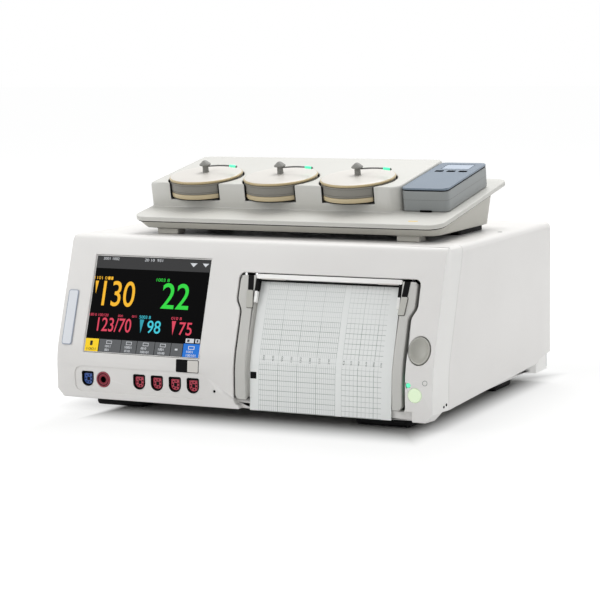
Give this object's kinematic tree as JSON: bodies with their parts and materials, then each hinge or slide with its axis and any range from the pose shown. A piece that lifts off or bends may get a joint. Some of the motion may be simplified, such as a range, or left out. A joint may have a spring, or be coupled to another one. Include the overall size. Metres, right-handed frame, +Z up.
{
  "type": "cardiotocograph",
  "caption": "Bench fetal monitor with touch screen and strip chart recorder, carrying a sloping dock with cordless transducers and a handset.",
  "frame": {"origin": "middle of the footprint at the height of the bench, centred between the outer sides, the front and the rear", "axes": "+Z up, +X to the right seen from the front, the screen and the recorder face -Y"},
  "size_m": [0.424, 0.3203, 0.2448],
  "materials": {
    "body_white": "fine satin texture, warm white",
    "arm_grey": "satin grey",
    "dock_grey": "satin light grey",
    "cream": "smooth cream",
    "band_grey": "matte bluish grey",
    "dark_plastic": "matte black",
    "black_rubber": "matte black",
    "blue_face": "blue grey, slight gloss",
    "board_green": "solder mask green",
    "sheet_metal": "plain rolled sheet",
    "bright_steel": "bright",
    "gear_brass": "cut brass",
    "screen_glass": "dark glass over a lit display",
    "clear_acrylic": "clear acrylic",
    "chart_paper": "printed grid paper",
    "socket_blue": "dark blue",
    "socket_red": "red",
    "socket_maroon": "dark red",
    "green_lamp": "lit green, emissive",
    "pale_green": "pale green"
  },
  "bodies": {
    "monitor": {"front_bezel": "body_white", "top_cover": "body_white", "base_pan": "sheet_metal", "rear_panel": "sheet_metal", "foot_front_left": "black_rubber", "foot_front_right": "black_rubber", "foot_rear_left": "black_rubber", "foot_rear_right": "black_rubber", "rear_screw_left": "bright_steel", "rear_screw_right": "bright_steel", "power_inlet": "dark_plastic", "data_sockets": "dark_plastic", "main_board": "board_green", "signal_board": "board_green", "power_supply": "sheet_metal", "loudspeaker": "dark_plastic", "touch_glass": "screen_glass", "display_panel": "dark_plastic", "name_plate": "bright_steel", "blue_socket": "socket_blue", "round_socket": "socket_maroon", "fetal_sockets": "socket_red", "status_lamp": "green_lamp", "door_hinge_rod": "bright_steel", "recorder_frame": "sheet_metal", "paper_motor": "dark_plastic", "print_head": "dark_plastic"},
    "door": {"door_frame": "arm_grey", "paper_tray": "body_white", "paper_pack": "chart_paper", "paper_sheet": "chart_paper"},
    "guide": {"paper_guide": "clear_acrylic"},
    "roller": {"platen_roller": "black_rubber", "roller_gear": "gear_brass"},
    "pinion": {"motor_pinion": "bright_steel"},
    "eject": {"eject_button": "arm_grey"},
    "power": {"power_button": "pale_green"},
    "dock": {"dock_top": "dock_grey", "dock_base": "dock_grey", "dock_board": "board_green"},
    "handset": {"handset_case": "dock_grey", "handset_face": "blue_face"},
    "transducer_1": {"transducer_1_shell": "cream", "transducer_1_band": "band_grey", "transducer_1_cap": "cream", "belt_knob_1": "dark_plastic", "aerial_1": "band_grey"},
    "key_1": {"handset_key_1": "dark_plastic"},
    "transducer_2": {"transducer_2_shell": "cream", "transducer_2_band": "band_grey", "transducer_2_cap": "cream", "belt_knob_2": "dark_plastic", "aerial_2": "band_grey"},
    "key_2": {"handset_key_2": "dark_plastic"},
    "transducer_3": {"transducer_3_shell": "cream", "transducer_3_band": "band_grey", "transducer_3_cap": "cream", "belt_knob_3": "dark_plastic", "aerial_3": "band_grey"},
    "key_3": {"handset_key_3": "dark_plastic"}
  },
  "joints": [
    {"name": "door_hinge", "type": "hinge", "parent": "monitor", "child": "door", "pos_m": [0.0875, -0.147, 0.015], "axis": [1, 0, 0], "range_deg": [0, 28]},
    {"name": "guide_pivot", "type": "hinge", "parent": "door", "child": "guide", "pos_m": [0.0875, -0.1388, 0.1155], "axis": [1, 0, 0], "range_deg": [0, 60]},
    {"name": "roller_spin", "type": "hinge", "parent": "monitor", "child": "roller", "pos_m": [0.0875, -0.11473, 0.12427], "axis": [1, 0, 0], "continuous": true},
    {"name": "pinion_spin", "type": "hinge", "parent": "monitor", "child": "pinion", "pos_m": [0.0875, -0.10423, 0.12427], "axis": [1, 0, 0], "continuous": true},
    {"name": "eject_press", "type": "slide", "parent": "monitor", "child": "eject", "axis": [0, 0.9475, -0.3196], "range_m": [0, 0.003], "stiffness_N_per_m": 400, "springref_m": -0.002},
    {"name": "power_press", "type": "slide", "parent": "monitor", "child": "power", "axis": [0, 1, 0], "range_m": [0, 0.0015], "stiffness_N_per_m": 400, "springref_m": -0.002},
    {"name": "dock_lift", "type": "slide", "parent": "monitor", "child": "dock", "axis": [0, 0, 1], "range_m": [0, 0.06]},
    {"name": "transducer_1_lift", "type": "slide", "parent": "dock", "child": "transducer_1", "axis": [0, -0.165, 0.9863], "range_m": [0, 0.06]},
    {"name": "transducer_2_lift", "type": "slide", "parent": "dock", "child": "transducer_2", "axis": [0, -0.165, 0.9863], "range_m": [0, 0.06]},
    {"name": "transducer_3_lift", "type": "slide", "parent": "dock", "child": "transducer_3", "axis": [0, -0.165, 0.9863], "range_m": [0, 0.06]},
    {"name": "handset_lift", "type": "slide", "parent": "dock", "child": "handset", "axis": [0, -0.165, 0.9863], "range_m": [0, 0.06]},
    {"name": "key_1_press", "type": "slide", "parent": "handset", "child": "key_1", "axis": [0, 0.165, -0.9863], "range_m": [0, 0.0008], "stiffness_N_per_m": 300, "springref_m": -0.001},
    {"name": "key_2_press", "type": "slide", "parent": "handset", "child": "key_2", "axis": [0, 0.165, -0.9863], "range_m": [0, 0.0008], "stiffness_N_per_m": 300, "springref_m": -0.001},
    {"name": "key_3_press", "type": "slide", "parent": "handset", "child": "key_3", "axis": [0, 0.165, -0.9863], "range_m": [0, 0.0008], "stiffness_N_per_m": 300, "springref_m": -0.001}
  ],
  "couplings": [
    {"joint": "pinion_spin", "follows": "roller_spin", "ratio": -2}
  ]
}
